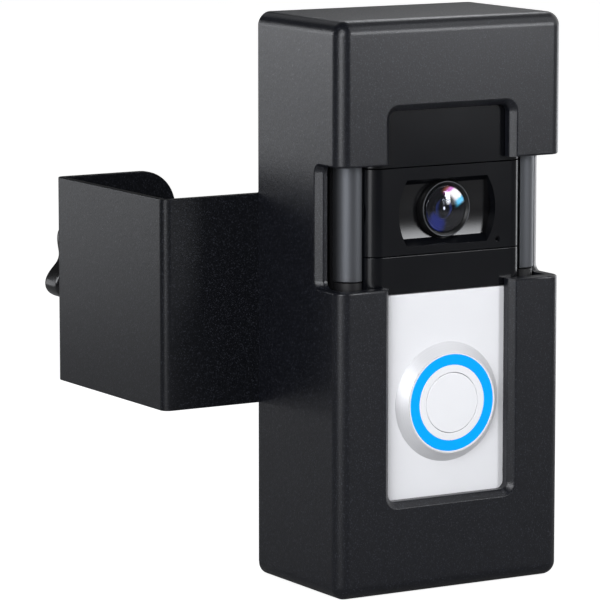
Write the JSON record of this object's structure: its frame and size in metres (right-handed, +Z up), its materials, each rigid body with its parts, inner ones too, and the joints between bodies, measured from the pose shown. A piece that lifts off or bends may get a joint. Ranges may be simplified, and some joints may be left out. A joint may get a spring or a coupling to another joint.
{
  "type": "video doorbell",
  "caption": "Video doorbell locked in a black steel cover, on a bent arm that clamps over the edge of a door; push button with a light ring, camera behind a drum window.",
  "frame": {"origin": "middle of the cover's width and height, on the pads' back face where the mount lies on the door", "axes": "+Z up, +Y into the door, +X to the right of someone who faces the doorbell; the clamp arm runs towards -X"},
  "size_m": [0.099, 0.1206, 0.1524],
  "materials": {
    "powder_coat": "fine-grain satin powder coat",
    "zinc_steel": "zinc plated",
    "black_screw": "black oxide",
    "foam": "closed-cell foam",
    "rubber_pad": "matt rubber",
    "knob_plastic": "glossy moulded",
    "case_plastic": "fine moulded texture",
    "black_gloss": "piano black",
    "drum_black": "satin black",
    "satin_silver": "satin anodised",
    "faceplate_silver": "fine satin silver paint",
    "bezel_silver": "fine blasted",
    "blue_light": "lit translucent diffuser",
    "white_plastic": "satin white",
    "lens_glass": "coated optical glass",
    "lens_black": "satin black",
    "circuit_board": "solder mask",
    "component": "moulded resin",
    "brass_part": "bright",
    "led_part": "moulded resin",
    "battery_wrap": "wrapped cell",
    "setup_orange": "moulded"
  },
  "bodies": {
    "root": {"security_cover": "powder_coat", "arm_bracket": "powder_coat", "cover_screws": "black_screw", "cover_nuts": "zinc_steel", "door_pads": "foam", "edge_pad": "rubber_pad", "clamp_nut": "zinc_steel", "side_cushions": "foam", "end_cushions": "foam", "backing_foam": "foam", "wall_plate": "case_plastic", "wall_plate_screws": "zinc_steel", "rear_case": "case_plastic", "case_seal": "rubber_pad", "mid_frame": "case_plastic", "case_screws": "zinc_steel", "side_rails": "satin_silver", "upper_fascia": "black_gloss", "camera_bezel": "black_gloss", "motion_window": "black_gloss", "camera_drum": "drum_black", "lens_barrel": "lens_black", "lens_ring": "black_gloss", "lens_front": "lens_glass", "lens_iris": "lens_black", "lens_rear": "lens_glass", "image_sensor": "component", "camera_board": "circuit_board", "night_leds": "component", "motion_sensors": "zinc_steel", "microphone": "brass_part", "main_board": "circuit_board", "board_chips": "component", "shield_can": "zinc_steel", "speaker": "component", "speaker_gasket": "rubber_pad", "faceplate": "faceplate_silver", "faceplate_screw": "zinc_steel", "button_bezel": "bezel_silver", "light_ring": "blue_light", "ring_trims": "white_plastic", "button_spring": "zinc_steel", "button_board": "circuit_board", "ring_leds": "led_part", "tact_switch": "component", "battery_pack": "battery_wrap", "battery_contacts": "brass_part", "terminal_screws": "brass_part"},
    "clamp_foot": {"pressure_plate": "zinc_steel", "pressure_pad": "rubber_pad"},
    "clamp_screw": {"clamp_spindle": "zinc_steel", "clamp_knob": "knob_plastic", "knob_cap": "knob_plastic", "spindle_clip": "zinc_steel"},
    "button": {"button_cap": "white_plastic"},
    "pairing_button": {"setup_button": "setup_orange"}
  },
  "joints": [
    {"name": "clamp_slide", "type": "slide", "parent": "root", "child": "clamp_foot", "axis": [0, -1, 0], "range_m": [-0.0115, 0.0025]},
    {"name": "knob_turn", "type": "hinge", "parent": "clamp_foot", "child": "clamp_screw", "pos_m": [-0.0444, 0.06, -0.0006], "axis": [0, -1, 0], "range_deg": [-3312, 720]},
    {"name": "button_press", "type": "slide", "parent": "root", "child": "button", "axis": [0, 1, 0], "range_m": [0, 0.0008], "stiffness_N_per_m": 600, "springref_m": -0.0008},
    {"name": "setup_press", "type": "slide", "parent": "root", "child": "pairing_button", "axis": [-1, 0, 0], "range_m": [0, 0.0004], "stiffness_N_per_m": 800, "springref_m": -0.0004}
  ],
  "couplings": [
    {"joint": "knob_turn", "follows": "clamp_slide", "rad_per_m": 5026.5}
  ]
}
